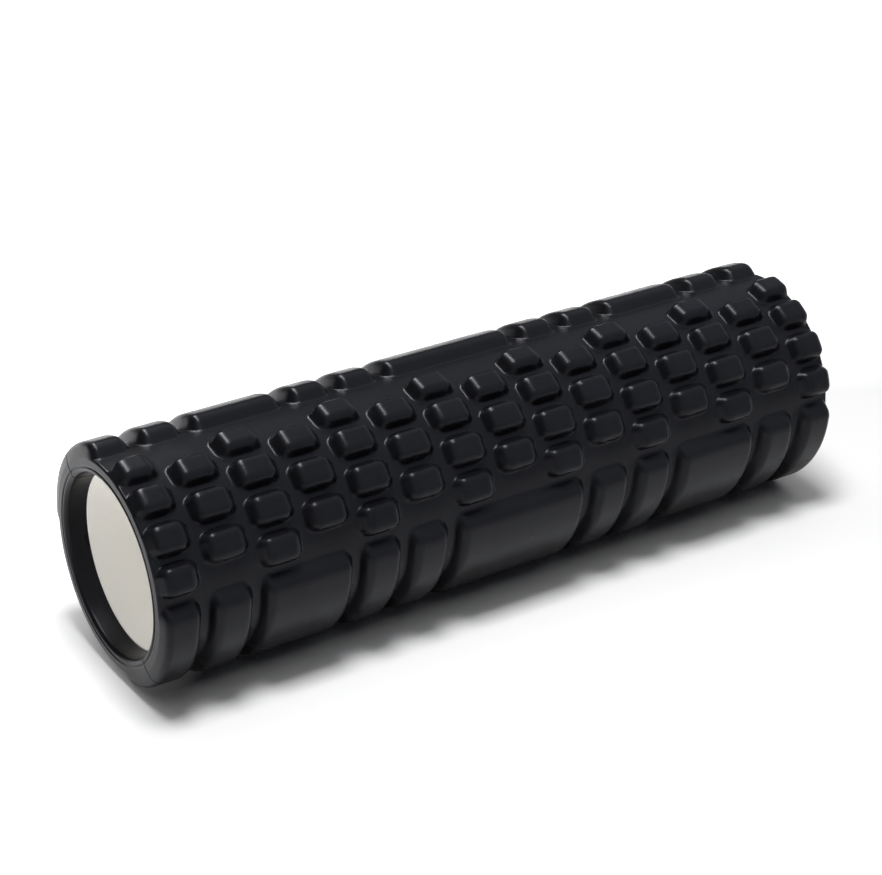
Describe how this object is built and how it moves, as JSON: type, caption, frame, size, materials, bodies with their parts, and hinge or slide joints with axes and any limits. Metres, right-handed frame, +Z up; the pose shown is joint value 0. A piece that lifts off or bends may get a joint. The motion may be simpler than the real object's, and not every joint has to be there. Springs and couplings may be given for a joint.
{
  "type": "foam roller",
  "caption": "Hollow massage roller: soft black foam sleeve with a relief of small blocks and long pads, bonded over a white rigid tube that is open from end to end.",
  "frame": {"origin": "middle of the core bore, on the roller's axis at half its length", "axes": "+X along the roller, +Z up with the roller lying at rest on its side, +Y across it, away from the side with the blocks uppermost"},
  "size_m": [0.45, 0.1368, 0.1354],
  "materials": {
    "core_plastic": "satin off-white extruded plastic",
    "sleeve_foam": "moulded closed-cell EVA foam with a smooth satin skin"
  },
  "bodies": {
    "root": {"core_tube": "core_plastic", "sleeve_half_front": "sleeve_foam", "sleeve_half_rear": "sleeve_foam"}
  },
  "joints": []
}
